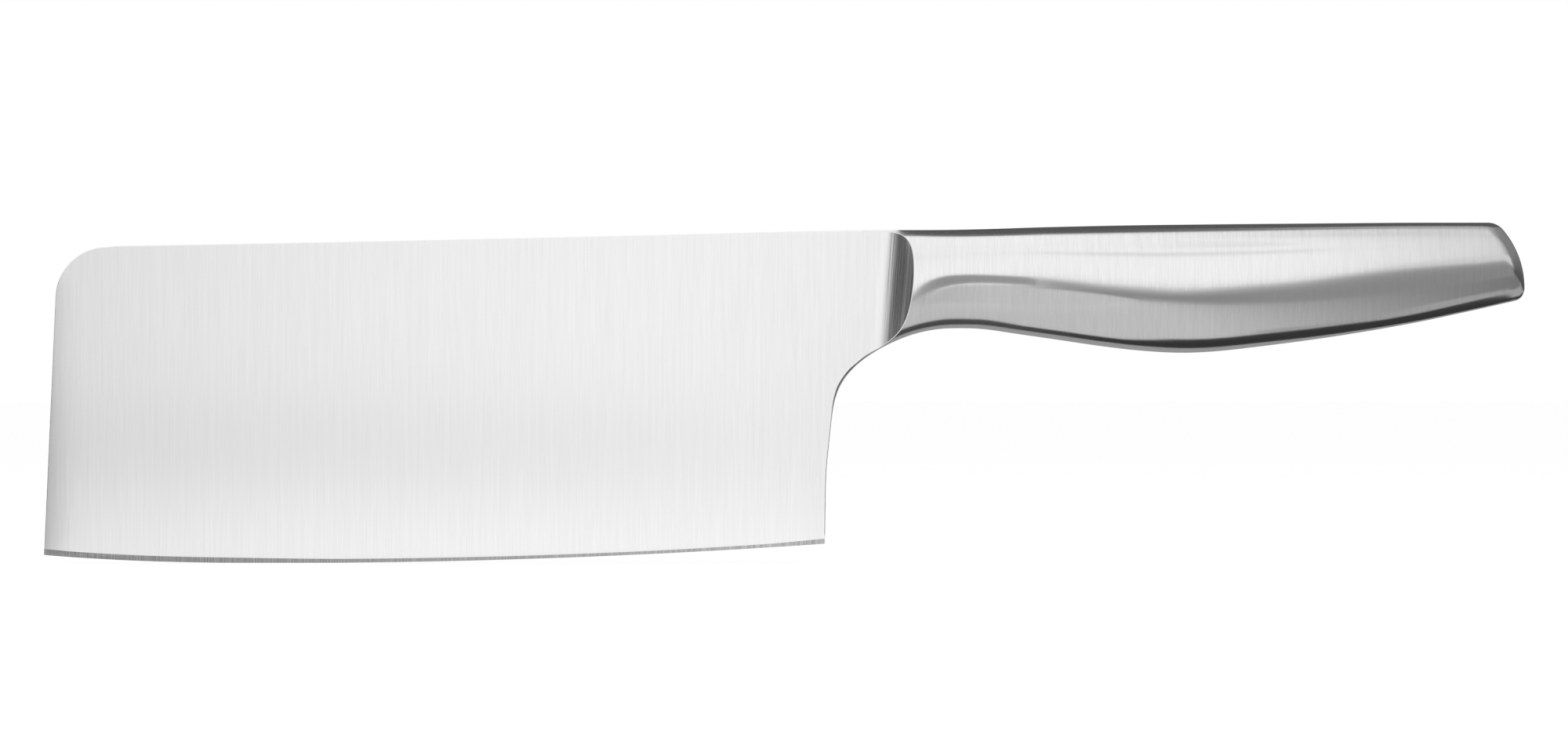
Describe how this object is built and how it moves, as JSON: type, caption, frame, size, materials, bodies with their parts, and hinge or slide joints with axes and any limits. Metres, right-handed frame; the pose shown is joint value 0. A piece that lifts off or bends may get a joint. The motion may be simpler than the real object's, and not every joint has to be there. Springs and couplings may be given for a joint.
{
  "type": "cleaver",
  "caption": "All-steel kitchen cleaver: broad straight blade with a rounded tip corner, ground bolster and a hollow welded steel grip with a swelling belly.",
  "frame": {"origin": "under the middle of the overall length, in the blade's middle plane, at the height of the lowest point of the cutting edge", "axes": "+X from the tip to the butt, +Z from the edge up to the spine, +Y across the blade to its right side as seen from behind the grip, so the pictured left side faces -Y"},
  "size_m": [0.3146, 0.0184, 0.0723],
  "materials": {
    "blade_steel": "fine satin, ground across the blade",
    "bolster_steel": "wheel ground, coarse upright lines",
    "grip_steel": "satin, half bright",
    "weld_steel": "ground flush and brushed over",
    "core_resin": "cast, filled resin"
  },
  "bodies": {
    "root": {"blade": "blade_steel", "bolster": "bolster_steel", "left_handle_shell": "grip_steel", "right_handle_shell": "grip_steel", "handle_core": "core_resin", "blade_weld": "weld_steel", "ring_weld": "weld_steel", "seam_weld": "weld_steel"}
  },
  "joints": []
}
